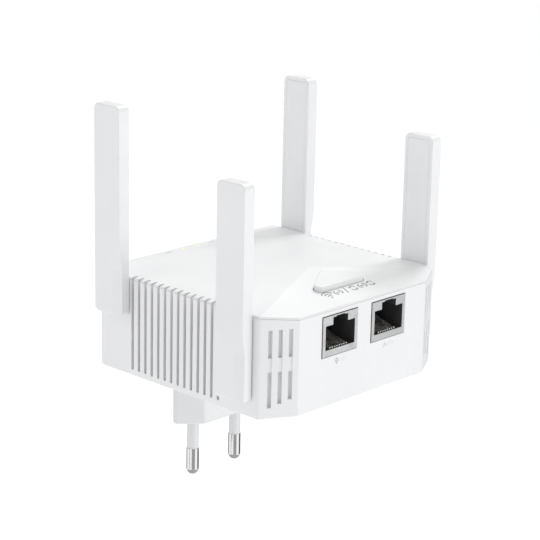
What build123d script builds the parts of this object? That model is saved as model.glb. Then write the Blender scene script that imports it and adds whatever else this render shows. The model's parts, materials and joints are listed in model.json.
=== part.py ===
from build123d import *
import os

# A plug-in wifi range extender: a low box on a two-pin mains plug, with two network
# sockets, a three-cornered pairing button and four folding antennas.
# Millimetres. The origin is the centre of the plug's engagement face, between the pins.
# +Z points away from the wall outlet, -Y is the socket side, +X is to the right of it.

# ---- driving sizes: mains plug
PIN_SPACING = 19.0
PIN_RADIUS = 2.0
PIN_LENGTH = 19.0
PIN_CORE_RADIUS = 1.4
SLEEVE_RADIUS = 1.84
SLEEVE_LENGTH = 10.0
SLEEVE_SEAT_Z = 5.0
SLEEVE_FIT = 0.02
PIN_TAIL_RADIUS = 0.8
PIN_TAIL_CLEARANCE = 0.05
BOSS_HALF_LENGTH = 18.4
BOSS_HALF_THICKNESS = 6.85
BOSS_POINT = 7.4
BOSS_CORNER_RADIUS = 1.6
BOSS_EDGE_RADIUS = 0.7
SPIGOT_INSET = 1.6
SPIGOT_FIT = 0.1

# ---- driving sizes: body
BODY_Z = 22.0
HALF_WIDTH = 38.6
FRONT_Y = -62.1
REAR_Y = 12.2
CORNER_CUT_X = 10.5
CORNER_CUT_Y = 5.8
REAR_CORNER_RADIUS = 2.5
SIDE_CORNER_RADIUS = 0.8
BOTTOM_EDGE_RADIUS = 0.8
WALL = 2.0
TALL = 62.0

# ---- driving sizes: hipped roof of the top cover
EAVE_Z = 53.0
RIDGE_Z = 56.5
RIDGE_FRONT_Y = -39.1
RIDGE_REAR_Y = -5.7
ROOF_THICKNESS = 1.8
EAVE_BREAK = 0.3
SEAM_DROP = 0.5
SEAM_GAP = 0.12
LIP_Z = 50.0
LIP_GAP = 0.1
LIP_THICKNESS = 1.0

# ---- driving sizes: vents
SIDE_SLOTS = 14
SIDE_SLOT_FIRST_Y = -3.3
SIDE_SLOT_PITCH = 2.83
SIDE_SLOT_WIDTH = 1.1
SIDE_SLOT_Z = 24.5
CORNER_SLOT_PLACES = (3.3, 6.4, 9.5)
CORNER_SLOT_WIDTH = 1.26
CORNER_SLOT_TOP_Z = 48.8
CORNER_SLOT_BOTTOM_Z = 25.5
CORNER_SLOT_BOTTOM_RISE = 0.35
CROSSBAR_LOW_Z = 36.2
CROSSBAR_HIGH_Z = 40.4
CROSSBAR_RECESS = 0.3
CORNER_SLOT_DEPTH = 1.5

# ---- driving sizes: network sockets
JACK_X = 10.8
JACK_Z = 43.7
JACK_HALF_WIDTH = 7.55
JACK_HALF_HEIGHT = 6.1
JACK_DEPTH = 15.5
JACK_PROUD = 0.2
JACK_GAP = 0.25
JACK_SHELL_GAP = 0.05
SHIELD_THICKNESS = 0.3
TUNNEL_DEPTH = 12.5
TUNNEL_HALF_WIDTH = 6.35
TUNNEL_FLOOR = -4.15
TUNNEL_ROOF = 3.3
LATCH_HALF_WIDTH = 3.2
LATCH_ROOF = 5.5
LATCH_TIP_HALF_WIDTH = 1.9
LATCH_TIP_ROOF = 5.78
CONTACTS = 8
CONTACT_PITCH = 1.02
CONTACT_WIDTH = 0.42
CONTACT_THICKNESS = 0.33
CONTACT_START = 0.7
CONTACT_FLAT = 0.9
CONTACT_RISE = 3.6

# ---- driving sizes: pairing button
BUTTON_BASE_Y = -53.2
BUTTON_HALF_BASE = 14.0
BUTTON_POINT_Y = -44.1
BUTTON_CORNER_RADIUS = 1.6
BUTTON_PROUD = 1.6
BUTTON_GAP = 0.3
BUTTON_TRAVEL = 0.5
BUTTON_FLANGE = 0.9
BUTTON_EDGE_RADIUS = 0.35
FLANGE_GAP = 0.1
FLANGE_THICKNESS = 0.8
PLUNGER_RADIUS = 1.2
SWITCH_Y = -43.9
SWITCH_HALF_WIDTH = 2.25
SWITCH_HEIGHT = 3.8
ACTUATOR_RADIUS = 0.9
ACTUATOR_PROUD = 1.0
ACTUATOR_CLEARANCE = 0.05

# ---- driving sizes: antennas
ANTENNA_WIDTH = 11.0
ANTENNA_LENGTH = 64.2
ANTENNA_THICKNESS = 4.2
ANTENNA_GAP = 0.3
ANTENNA_TIP_RADIUS = 1.8
ANTENNA_FOOT_RADIUS = 1.3
ANTENNA_EDGE_RADIUS = 0.45
ANTENNA_WALL = 1.2
POCKET_CORNER_RADIUS = 0.8
REAR_ANTENNA_Y = 3.35
REAR_LEFT_FOOT_Z = 41.2
REAR_RIGHT_FOOT_Z = 39.6
FRONT_ANTENNA_Y = -48.4
FRONT_LEFT_FOOT_Z = 27.2
FRONT_RIGHT_FOOT_Z = 29.1
PIVOT_RISE = 5.8
SHAFT_RADIUS = 2.6
SHAFT_BORE_RADIUS = 1.3
SHAFT_CLEARANCE = 0.05
CLIP_RADIUS = 3.8
CLIP_ROOM = 0.4
CLIP_THICKNESS = 0.8
CLIP_MOUTH = 1.4
GROOVE_RADIUS = 2.2
SHAFT_REACH = 4.0
SHOULDER_RADIUS = 4.0
BACK_THICKNESS = 1.1
BACK_FIT = 0.06
ELEMENT_LIFT = 0.4
ELEMENT_THICKNESS = 0.6
ELEMENT_HALF_WIDTH = 3.2
ELEMENT_START = 11.0
ELEMENT_TIP_GAP = 3.2
COAX_START = 4.4
COAX_X = 27.5
COAX_BEND = 2.0
COAX_RADIUS = 0.6
FACET_TOP = 24.4
FACET_MIDDLE = 14.2
FACET_RECESS = 0.25
CORNER_FACET_TOP = 21.6
CORNER_FACET_WIDTH = 3.3
CORNER_FACET_DEPTH = 1.0

# ---- driving sizes: boards and fastenings
BOARD_THICKNESS = 1.6
BOARD_CLEARANCE = 0.6
BOARD_TOP_Z = JACK_Z - JACK_HALF_HEIGHT
BOARD_Z = BOARD_TOP_Z - BOARD_THICKNESS
BOARD_HALF_WIDTH = 33.0
BOARD_FRONT_Y = -59.5
BOARD_REAR_Y = 9.0
MAINS_BOARD_Z = 24.6
MAINS_BOARD_TOP_Z = MAINS_BOARD_Z + BOARD_THICKNESS
MAINS_BOARD_HALF_WIDTH = 20.0
MAINS_BOARD_FRONT_Y = -44.0
MAINS_BOARD_REAR_Y = 8.0
PILLAR_X = 31.0
PILLAR_Y = -22.0
PILLAR_RADIUS = 3.2
PILLAR_TOP_Z = 35.0
POST_RADIUS = 2.6
POST_CLEARANCE = 0.3
POST_PILOT_RADIUS = 1.12
POST_PILOT_TOP_Z = 46.0
SCREW_SEAT_Z = 33.0
SCREW_HEAD_RADIUS = 1.95
SCREW_HEAD_HEIGHT = 1.5
SCREW_HEAD_ROOM = 0.15
SCREW_RADIUS = 1.1
SCREW_LENGTH = 10.0
SCREW_PASS_RADIUS = 1.2
DRIVER_SLOT_WIDTH = 0.5
DRIVER_SLOT_LENGTH = 2.6
DRIVER_SLOT_DEPTH = 0.6
STANDOFFS = ((-24.0, 4.0), (24.0, 4.0), (-24.0, -38.0), (24.0, -38.0))
STANDOFF_RADIUS = 2.6
STANDOFF_PILOT_RADIUS = 0.9
BOARD_SCREW_RADIUS = 0.85
BOARD_SCREW_LENGTH = 5.0
BOARD_SCREW_HEAD_RADIUS = 1.9
BOARD_SCREW_HEAD_HEIGHT = 1.2
BOARD_HOLE_RADIUS = 1.1
LED_PLACES = (-13.0, -6.5, 0.0, 6.5, 13.0)
LED_Y = 8.2
WINDOW_HALF_LENGTH = 1.4
WINDOW_HALF_WIDTH = 0.5
WINDOW_FIT = 0.06
GUIDE_BAR_Z = 50.0
GUIDE_BAR_HEIGHT = 1.2
GUIDE_LEG_HALF_WIDTH = 0.6
LED_HALF_LENGTH = 0.8
LED_HALF_WIDTH = 0.4
LED_HEIGHT = 0.8

# ---- driving sizes: what stands on the boards
CORE_Y = -21.0
CORE_HALF_WIDTH = 7.0
CORE_HALF_LENGTH = 7.0
CORE_LEG_HALF_WIDTH = 2.0
CORE_WINDOW_HALF_LENGTH = 5.0
CORE_HEIGHT = 8.0
CORE_LIFT = 0.5
COIL_CLEARANCE = 0.2
COIL_BORE_CLEARANCE = 0.1
CAPACITOR_RADIUS = 3.95
CAPACITOR_LENGTH = 13.0
CAPACITOR_PLACES = ((13.5, -14.0), (13.5, -30.0), (-13.5, -30.0))
FUSE_Y = 5.6
FUSE_RADIUS = 1.6
FUSE_HALF_LENGTH = 6.0
RECTIFIER_PLACE = (-3.0, -7.0)
RECTIFIER_HALF_LENGTH = 3.0
RECTIFIER_HALF_WIDTH = 2.5
RECTIFIER_HEIGHT = 2.5
HEADER_X = -16.5
HEADER_Y = -7.0
HEADER_PITCH = 2.54
HEADER_PINS = 4
HEADER_PIN_WIDTH = 0.6
CHIPS = ((0.0, -22.0, 7.0, 7.0, 1.2), (-19.5, -13.5, 4.5, 4.5, 1.0), (17.0, -6.0, 3.0, 4.0, 1.2))
SINK_OVERHANG = 2.0
SINK_BASE = 1.6
SINK_HEIGHT = 9.0
SINK_FINS = 5
FIN_THICKNESS = 1.0
CAN_X = 19.0
CAN_Y = -29.0
CAN_HALF_WIDTH = 7.0
CAN_HEIGHT = 3.0
CAN_THICKNESS = 0.2

FLOOR_Z = BODY_Z + WALL
SIDE_FALL = (RIDGE_Z - EAVE_Z) / HALF_WIDTH
FRONT_FALL = (RIDGE_Z - EAVE_Z) / (RIDGE_FRONT_Y - FRONT_Y - CORNER_CUT_Y)
REAR_FALL = (RIDGE_Z - EAVE_Z) / (REAR_Y - RIDGE_REAR_Y)
JACK_FACE_Y = FRONT_Y - JACK_PROUD
JACK_BACK_Y = JACK_FACE_Y + JACK_DEPTH


# ---- small shape helpers
def block(x0, x1, y0, y1, z0, z1):
    """A box between two corners."""
    return Pos((x0 + x1) / 2, (y0 + y1) / 2, (z0 + z1) / 2) * Box(x1 - x0, y1 - y0, z1 - z0)


def rod(x, y, z0, z1, radius):
    """An upright round bar."""
    return Pos(x, y, (z0 + z1) / 2) * Cylinder(radius, z1 - z0)


def cross_rod(x0, x1, y, z, radius):
    """A round bar along X."""
    return Pos((x0 + x1) / 2, y, z) * Rot(0, 90, 0) * Cylinder(radius, x1 - x0)


def long_rod(x, y0, y1, z, radius):
    """A round bar along Y."""
    return Pos(x, (y0 + y1) / 2, z) * Rot(90, 0, 0) * Cylinder(radius, y1 - y0)


def right_hand(shape):
    """The mirror image of a left-hand shape."""
    return mirror(shape, about=Plane.YZ)


# ---- body outline and roof
def outline(inset):
    """The body seen from above, drawn in by inset."""
    cut_y = FRONT_Y + CORNER_CUT_Y
    cut_x = HALF_WIDTH - CORNER_CUT_X
    face = make_face(Polyline(
        (-HALF_WIDTH, REAR_Y), (-HALF_WIDTH, cut_y), (-cut_x, FRONT_Y),
        (cut_x, FRONT_Y), (HALF_WIDTH, cut_y), (HALF_WIDTH, REAR_Y), close=True))
    face = fillet(face.vertices().sort_by(Axis.Y)[-2:], REAR_CORNER_RADIUS)
    front = [v for v in face.vertices() if v.Y < cut_y + 1]
    face = fillet(front, SIDE_CORNER_RADIUS)
    return offset(face, -inset) if inset else face


def prism(inset, z0, z1):
    """The body outline as an upright solid."""
    return Pos(0, 0, z0) * extrude(outline(inset), z1 - z0)


def roof_planes(drop):
    """The four planes of the hipped roof, lowered by drop."""
    top = RIDGE_Z - drop
    return (Plane(origin=(0, 0, top), z_dir=(-SIDE_FALL, 0, 1)),
            Plane(origin=(0, 0, top), z_dir=(SIDE_FALL, 0, 1)),
            Plane(origin=(0, RIDGE_FRONT_Y, top), z_dir=(0, -FRONT_FALL, 1)),
            Plane(origin=(0, RIDGE_REAR_Y, top), z_dir=(0, REAR_FALL, 1)))


def under_roof(shape, drop):
    """What is left of a shape below the roof lowered by drop."""
    for plane in roof_planes(drop):
        shape = split(shape, bisect_by=plane, keep=Keep.BOTTOM)
    return shape


def facet_z(y):
    """Height of the roof's front facet."""
    return RIDGE_Z - FRONT_FALL * (RIDGE_FRONT_Y - y)


def eave_planes():
    """Slanting planes that break the roof's sharp outer edges, one for each upright side."""
    side_up = Vector(-SIDE_FALL, 0, 1).normalized()
    front_up = Vector(0, -FRONT_FALL, 1).normalized()
    rear_up = Vector(0, REAR_FALL, 1).normalized()
    corner_out = Vector(-CORNER_CUT_Y, -CORNER_CUT_X, 0).normalized()
    left = ((Vector(-HALF_WIDTH, 0, EAVE_Z), Vector(-1, 0, 0), side_up),
            (Vector(-HALF_WIDTH, FRONT_Y + CORNER_CUT_Y, EAVE_Z), corner_out, front_up))
    planes = [(point - out * EAVE_BREAK, out + up) for point, out, up in left]
    planes += [(Vector(-p.X, p.Y, p.Z), Vector(-n.X, n.Y, n.Z)) for p, n in planes]
    front = Vector(0, FRONT_Y + EAVE_BREAK, facet_z(FRONT_Y))
    rear = Vector(0, REAR_Y - EAVE_BREAK, EAVE_Z)
    planes += [(front, Vector(0, -1, 0) + front_up), (rear, Vector(0, 1, 0) + rear_up)]
    return [Plane(origin=point, z_dir=normal) for point, normal in planes]


# ---- vents
def side_slots():
    """Left-hand side slots: they open the wall and nick the edge of the cover."""
    radius = SIDE_SLOT_WIDTH / 2
    x0 = -HALF_WIDTH - 1
    x1 = -HALF_WIDTH + WALL + LIP_GAP
    slots = []
    for number in range(SIDE_SLOTS):
        y = SIDE_SLOT_FIRST_Y - number * SIDE_SLOT_PITCH
        slots.append(block(x0, x1, y - radius, y + radius, SIDE_SLOT_Z, TALL))
        slots.append(cross_rod(x0, x1, y, SIDE_SLOT_Z, radius))
    return Part() + slots


def corner_slots():
    """Left-hand corner slots: shallow grooves, each crossed by a bar set back from the face."""
    start = Vector(-HALF_WIDTH, FRONT_Y + CORNER_CUT_Y, 0)
    along = Vector(CORNER_CUT_X, -CORNER_CUT_Y, 0).normalized()
    outward = Vector(-CORNER_CUT_Y, -CORNER_CUT_X, 0).normalized()
    slots = []
    for place in CORNER_SLOT_PLACES:
        low = CORNER_SLOT_BOTTOM_Z + CORNER_SLOT_BOTTOM_RISE * (place - CORNER_SLOT_PLACES[0])
        face = Plane(origin=start + along * place, x_dir=along, z_dir=outward)
        for z0, z1, depth in ((low, CROSSBAR_LOW_Z, CORNER_SLOT_DEPTH),
                              (CROSSBAR_HIGH_Z, CORNER_SLOT_TOP_Z, CORNER_SLOT_DEPTH),
                              (CROSSBAR_LOW_Z - 1, CROSSBAR_HIGH_Z + 1, CROSSBAR_RECESS)):
            bar = Box(CORNER_SLOT_WIDTH, z1 - z0, 2 * depth)
            slots.append(face * Pos(0, (z0 + z1) / 2, 0) * bar)
    return Part() + slots


def slots_both_sides():
    left = side_slots() + corner_slots()
    return left + right_hand(left)


# ---- housing, cover and plug
def antenna_places():
    """Row, side, middle Y and foot height of each antenna, rear pair first."""
    return (("rear", "left", REAR_ANTENNA_Y, REAR_LEFT_FOOT_Z),
            ("rear", "right", REAR_ANTENNA_Y, REAR_RIGHT_FOOT_Z),
            ("front", "left", FRONT_ANTENNA_Y, FRONT_LEFT_FOOT_Z),
            ("front", "right", FRONT_ANTENNA_Y, FRONT_RIGHT_FOOT_Z))


def on_side(shape, side):
    """A shape drawn for the left, on its own side."""
    return right_hand(shape) if side == "right" else shape


def rear_housing():
    """The cup that holds the boards: side walls and back plate in one moulding."""
    shell = prism(0, BODY_Z, TALL)
    rim = shell.edges().filter_by_position(Axis.Z, BODY_Z - 0.01, BODY_Z + 0.01)
    shell = fillet(rim, BOTTOM_EDGE_RADIUS)
    shell = under_roof(shell, SEAM_DROP + SEAM_GAP) - prism(WALL, FLOOR_Z, TALL)
    for x, y in STANDOFFS:
        shell += rod(x, y, FLOOR_Z, BOARD_Z, STANDOFF_RADIUS)
        shell -= rod(x, y, BOARD_Z - BOARD_SCREW_LENGTH - 1, BOARD_Z + 1, STANDOFF_PILOT_RADIUS)
    for x in (-PILLAR_X, PILLAR_X):
        shell += rod(x, PILLAR_Y, FLOOR_Z - 1, PILLAR_TOP_Z, PILLAR_RADIUS)
        shell -= rod(x, PILLAR_Y, BODY_Z - 1, SCREW_SEAT_Z, SCREW_HEAD_RADIUS + SCREW_HEAD_ROOM)
        shell -= rod(x, PILLAR_Y, SCREW_SEAT_Z - 1, PILLAR_TOP_Z + 1, SCREW_PASS_RADIUS)
    for x in (-JACK_X, JACK_X):
        width = JACK_HALF_WIDTH + JACK_GAP
        height = JACK_HALF_HEIGHT + JACK_GAP
        shell -= block(x - width, x + width, FRONT_Y - 1, FRONT_Y + WALL + 1,
                       JACK_Z - height, JACK_Z + height)
    for row, side, y, foot_z in antenna_places():
        bore = cross_rod(-HALF_WIDTH - 1, 0, y, foot_z + PIVOT_RISE, SHAFT_RADIUS + SHAFT_CLEARANCE)
        shell -= on_side(bore, side)
    shell -= Pos(0, 0, BODY_Z - 1) * extrude(boss_outline(SPIGOT_INSET - SPIGOT_FIT), WALL + 2)
    return shell - slots_both_sides()


def button_outline(grow):
    """The three-cornered button seen from above, drawn out by grow."""
    face = make_face(Polyline((-BUTTON_HALF_BASE, BUTTON_BASE_Y), (BUTTON_HALF_BASE, BUTTON_BASE_Y),
                              (0, BUTTON_POINT_Y), close=True))
    face = fillet(face.vertices(), BUTTON_CORNER_RADIUS)
    return offset(face, grow) if grow else face


def light_windows(grow):
    """The five light windows near the cover's rear edge."""
    half_length = WINDOW_HALF_LENGTH + grow
    half_width = WINDOW_HALF_WIDTH + grow
    return [block(x - half_length, x + half_length, LED_Y - half_width, LED_Y + half_width,
                  LIP_Z - 2, TALL) for x in LED_PLACES]


def top_cover():
    """The hipped lid: a plate with a locating lip and two screw posts."""
    skin = under_roof(prism(0, 40, TALL), 0)
    for plane in eave_planes():
        skin = split(skin, bisect_by=plane, keep=Keep.BOTTOM)
    skin -= under_roof(prism(0, 39, TALL), SEAM_DROP)
    inset = WALL + LIP_GAP
    plate = under_roof(prism(inset, LIP_Z, TALL), SEAM_DROP / 2)
    hollow = under_roof(prism(inset + LIP_THICKNESS, LIP_Z - 1, TALL), ROOF_THICKNESS)
    cover = skin + (plate - hollow)
    for x in (-PILLAR_X, PILLAR_X):
        cover += under_roof(rod(x, PILLAR_Y, PILLAR_TOP_Z, TALL, POST_RADIUS), ROOF_THICKNESS / 2)
        cover -= rod(x, PILLAR_Y, PILLAR_TOP_Z - 1, POST_PILOT_TOP_Z, POST_PILOT_RADIUS)
    clear = CLIP_RADIUS + CLIP_ROOM
    notch = block(-HALF_WIDTH + WALL, -PILLAR_X, REAR_ANTENNA_Y - clear, REAR_ANTENNA_Y + clear,
                  LIP_Z - 1, REAR_LEFT_FOOT_Z + PIVOT_RISE + clear)
    cover -= notch + right_hand(notch)
    cover -= Pos(0, 0, LIP_Z - 5) * extrude(button_outline(BUTTON_GAP), TALL - LIP_Z)
    cover -= Part() + light_windows(WINDOW_FIT)
    return cover - slots_both_sides()


def boss_outline(inset):
    """The six-cornered plug body seen from below, drawn in by inset."""
    flat = BOSS_HALF_LENGTH - BOSS_POINT
    face = make_face(Polyline(
        (-BOSS_HALF_LENGTH, 0), (-flat, -BOSS_HALF_THICKNESS), (flat, -BOSS_HALF_THICKNESS),
        (BOSS_HALF_LENGTH, 0), (flat, BOSS_HALF_THICKNESS), (-flat, BOSS_HALF_THICKNESS),
        close=True))
    face = fillet(face.vertices(), BOSS_CORNER_RADIUS)
    return offset(face, -inset) if inset else face


def plug_boss():
    """The plug body that fits a recessed outlet, with a spigot through the back plate."""
    boss = extrude(boss_outline(0), BODY_Z)
    boss = fillet(boss.edges().group_by(Axis.Z)[0], BOSS_EDGE_RADIUS)
    boss += Pos(0, 0, BODY_Z) * extrude(boss_outline(SPIGOT_INSET), MAINS_BOARD_Z - BODY_Z)
    for x in (-PIN_SPACING / 2, PIN_SPACING / 2):
        boss -= rod(x, 0, -1, SLEEVE_SEAT_Z, SLEEVE_RADIUS + SLEEVE_FIT)
        boss -= rod(x, 0, 0, MAINS_BOARD_Z + 1, PIN_CORE_RADIUS + SLEEVE_FIT)
    return boss


def plug_pins():
    """Two round pins: bare rounded tips, slim cores inside the sleeves, solder tails."""
    pins = []
    for x in (-PIN_SPACING / 2, PIN_SPACING / 2):
        tip = rod(x, 0, -PIN_LENGTH + PIN_RADIUS, -SLEEVE_LENGTH, PIN_RADIUS)
        tip += Pos(x, 0, -PIN_LENGTH + PIN_RADIUS) * Sphere(PIN_RADIUS)
        core = rod(x, 0, -SLEEVE_LENGTH - 0.5, MAINS_BOARD_Z - 0.2, PIN_CORE_RADIUS)
        tail = rod(x, 0, MAINS_BOARD_Z - 1, MAINS_BOARD_TOP_Z + 1, PIN_TAIL_RADIUS)
        pins.append(tip + core + tail)
    return pins


def pin_sleeves():
    """The insulating sleeves on the pins, seated in the plug body."""
    sleeves = []
    top = SLEEVE_SEAT_Z - SLEEVE_FIT
    for x in (-PIN_SPACING / 2, PIN_SPACING / 2):
        sleeve = rod(x, 0, -SLEEVE_LENGTH, top, SLEEVE_RADIUS)
        sleeves.append(sleeve - rod(x, 0, -SLEEVE_LENGTH - 1, top + 1, PIN_CORE_RADIUS + SLEEVE_FIT))
    return sleeves


def cover_screws():
    """Two screws that pull the cover down from behind."""
    screws = []
    for x in (-PILLAR_X, PILLAR_X):
        head_z = SCREW_SEAT_Z - SCREW_HEAD_HEIGHT
        screw = rod(x, PILLAR_Y, head_z, SCREW_SEAT_Z, SCREW_HEAD_RADIUS)
        screw += rod(x, PILLAR_Y, SCREW_SEAT_Z, SCREW_SEAT_Z + SCREW_LENGTH, SCREW_RADIUS)
        driver_slot = Box(DRIVER_SLOT_WIDTH, DRIVER_SLOT_LENGTH, 2 * DRIVER_SLOT_DEPTH)
        screws.append(screw - Pos(x, PILLAR_Y, head_z) * driver_slot)
    return screws


# ---- network sockets
def jack_tunnel(x, y0, y1):
    """The plug-shaped opening of a network socket, latch upwards."""
    floor = JACK_Z + TUNNEL_FLOOR
    steps = ((TUNNEL_HALF_WIDTH, TUNNEL_ROOF), (LATCH_HALF_WIDTH, LATCH_ROOF),
             (LATCH_TIP_HALF_WIDTH, LATCH_TIP_ROOF))
    return Part() + [block(x - half, x + half, y0, y1, floor, JACK_Z + roof)
                     for half, roof in steps]


def jack_shield(x):
    """The folded metal can around one socket, just proud of the housing's front."""
    inner = JACK_HALF_WIDTH - SHIELD_THICKNESS
    inner_top = JACK_HALF_HEIGHT - SHIELD_THICKNESS
    can = block(x - JACK_HALF_WIDTH, x + JACK_HALF_WIDTH, JACK_FACE_Y, JACK_BACK_Y,
                JACK_Z - JACK_HALF_HEIGHT, JACK_Z + JACK_HALF_HEIGHT)
    can -= block(x - inner, x + inner, JACK_FACE_Y + SHIELD_THICKNESS, JACK_BACK_Y + 1,
                 JACK_Z - inner_top, JACK_Z + inner_top)
    return can - jack_tunnel(x, JACK_FACE_Y - 1, JACK_FACE_Y + 1)


def jack_insulator(x):
    """The moulded body inside the can, with the plug-shaped tunnel."""
    gap = SHIELD_THICKNESS + JACK_SHELL_GAP
    half = JACK_HALF_WIDTH - gap
    half_height = JACK_HALF_HEIGHT - gap
    body = block(x - half, x + half, JACK_FACE_Y + gap, JACK_BACK_Y - 0.2,
                 JACK_Z - half_height, JACK_Z + half_height)
    return body - jack_tunnel(x, JACK_FACE_Y - 1, JACK_FACE_Y + TUNNEL_DEPTH)


def jack_contacts(x):
    """Eight sprung contact wires that rise from the front lip towards the back."""
    floor = JACK_Z + TUNNEL_FLOOR + JACK_SHELL_GAP
    front = JACK_FACE_Y + CONTACT_START
    bend = front + CONTACT_FLAT
    back = JACK_FACE_Y + TUNNEL_DEPTH
    rise = CONTACT_RISE
    top = CONTACT_THICKNESS
    profile = Polyline((front, floor), (bend, floor), (back, floor + rise),
                       (back, floor + rise + top), (bend, floor + top), (front, floor + top),
                       close=True)
    wire = extrude(Plane.YZ * make_face(profile), CONTACT_WIDTH / 2, both=True)
    first = x - CONTACT_PITCH * (CONTACTS - 1) / 2
    return [Pos(first + number * CONTACT_PITCH, 0, 0) * wire for number in range(CONTACTS)]


# ---- pairing button and its switch
def wps_button():
    """The three-cornered cap, its retaining flange and the plunger down to the switch."""
    cap = Pos(0, 0, LIP_Z) * extrude(button_outline(0), TALL - LIP_Z)
    cap = split(cap, bisect_by=facet_plane(BUTTON_PROUD), keep=Keep.BOTTOM)
    rim = cap.faces().sort_by(Axis.Z)[-1].edges()
    cap = fillet(rim, BUTTON_EDGE_RADIUS)
    flange_top = -ROOF_THICKNESS - FLANGE_GAP
    flange_middle = flange_top - FLANGE_THICKNESS / 2
    cap = split(cap, bisect_by=facet_plane(flange_top - FLANGE_THICKNESS), keep=Keep.TOP)
    flange = Pos(0, 0, LIP_Z - 4) * extrude(button_outline(BUTTON_FLANGE), TALL - LIP_Z)
    flange += block(-2, 2, SWITCH_Y - 2, SWITCH_Y + 2, LIP_Z - 4, TALL)
    flange = split(flange, bisect_by=facet_plane(flange_top), keep=Keep.BOTTOM)
    flange = split(flange, bisect_by=facet_plane(flange_top - FLANGE_THICKNESS), keep=Keep.TOP)
    plunger = rod(0, SWITCH_Y, actuator_top(), facet_z(SWITCH_Y) + flange_middle, PLUNGER_RADIUS)
    return cap + flange + plunger


def facet_plane(rise):
    """The roof's front facet, raised by rise."""
    return Plane(origin=(0, RIDGE_FRONT_Y, RIDGE_Z + rise), z_dir=(0, -FRONT_FALL, 1))


def actuator_top():
    return BOARD_TOP_Z + SWITCH_HEIGHT + ACTUATOR_PROUD


def tact_switch():
    """The small push switch under the plunger, with a hole for its actuator."""
    body = block(-SWITCH_HALF_WIDTH, SWITCH_HALF_WIDTH, SWITCH_Y - SWITCH_HALF_WIDTH,
                 SWITCH_Y + SWITCH_HALF_WIDTH, BOARD_TOP_Z, BOARD_TOP_Z + SWITCH_HEIGHT)
    hole = rod(0, SWITCH_Y, BOARD_TOP_Z + 1, TALL, ACTUATOR_RADIUS + ACTUATOR_CLEARANCE)
    return body - hole


def switch_actuator():
    """The pin that the plunger rests on; it travels with the button."""
    low = BOARD_TOP_Z + 1 + BUTTON_TRAVEL + 0.1
    return rod(0, SWITCH_Y, low, actuator_top(), ACTUATOR_RADIUS)


# ---- indicator lights
def light_guide():
    """A clear comb: five windows in the cover, joined by a bar, with a leg over each light."""
    low, high = LED_Y - WINDOW_HALF_WIDTH, LED_Y + WINDOW_HALF_WIDTH
    joint_z = GUIDE_BAR_Z + GUIDE_BAR_HEIGHT / 2
    comb = block(LED_PLACES[0] - WINDOW_HALF_LENGTH, LED_PLACES[-1] + WINDOW_HALF_LENGTH, low, high,
                 GUIDE_BAR_Z, GUIDE_BAR_Z + GUIDE_BAR_HEIGHT)
    for x in LED_PLACES:
        comb += block(x - GUIDE_LEG_HALF_WIDTH, x + GUIDE_LEG_HALF_WIDTH, low, high,
                      BOARD_TOP_Z + LED_HEIGHT + 0.2, joint_z)
        comb += block(x - WINDOW_HALF_LENGTH, x + WINDOW_HALF_LENGTH, low, high, joint_z, TALL)
    return under_roof(comb, 0.02)


def indicator_leds():
    return [block(x - LED_HALF_LENGTH, x + LED_HALF_LENGTH, LED_Y - LED_HALF_WIDTH,
                  LED_Y + LED_HALF_WIDTH, BOARD_TOP_Z, BOARD_TOP_Z + LED_HEIGHT)
            for x in LED_PLACES]


# ---- boards and what stands on them
def main_board():
    """The radio board: it carries the sockets, the switch and the lights."""
    board = prism(WALL + BOARD_CLEARANCE, BOARD_Z, BOARD_TOP_Z)
    board &= block(-BOARD_HALF_WIDTH, BOARD_HALF_WIDTH, BOARD_FRONT_Y, BOARD_REAR_Y,
                   BOARD_Z, BOARD_TOP_Z)
    for x in (-PILLAR_X, PILLAR_X):
        board -= rod(x, PILLAR_Y, BOARD_Z - 1, BOARD_TOP_Z + 1, POST_RADIUS + POST_CLEARANCE)
    for x, y in STANDOFFS:
        board -= rod(x, y, BOARD_Z - 1, BOARD_TOP_Z + 1, BOARD_HOLE_RADIUS)
    return board


def board_screws():
    """Four pan-head screws that hold the radio board on its standoffs."""
    head_top = BOARD_TOP_Z + BOARD_SCREW_HEAD_HEIGHT
    return [rod(x, y, BOARD_TOP_Z, head_top, BOARD_SCREW_HEAD_RADIUS)
            + rod(x, y, BOARD_Z - BOARD_SCREW_LENGTH, BOARD_TOP_Z, BOARD_SCREW_RADIUS)
            for x, y in STANDOFFS]


def mains_board():
    """The power board, soldered to the tails of the plug's pins."""
    board = block(-MAINS_BOARD_HALF_WIDTH, MAINS_BOARD_HALF_WIDTH, MAINS_BOARD_FRONT_Y,
                  MAINS_BOARD_REAR_Y, MAINS_BOARD_Z, MAINS_BOARD_TOP_Z)
    for x in (-PIN_SPACING / 2, PIN_SPACING / 2):
        board -= rod(x, 0, MAINS_BOARD_Z - 1, MAINS_BOARD_TOP_Z + 1,
                     PIN_TAIL_RADIUS + PIN_TAIL_CLEARANCE)
    return board


def transformer_core():
    """The ferrite core: a frame around the winding with a centre leg."""
    low = MAINS_BOARD_TOP_Z + CORE_LIFT
    high = low + CORE_HEIGHT
    core = block(-CORE_HALF_WIDTH, CORE_HALF_WIDTH, CORE_Y - CORE_HALF_LENGTH,
                 CORE_Y + CORE_HALF_LENGTH, low, high)
    window = block(CORE_LEG_HALF_WIDTH, CORE_HALF_WIDTH - CORE_LEG_HALF_WIDTH,
                   CORE_Y - CORE_WINDOW_HALF_LENGTH, CORE_Y + CORE_WINDOW_HALF_LENGTH,
                   low - 1, high + 1)
    return core - window - right_hand(window)


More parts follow.
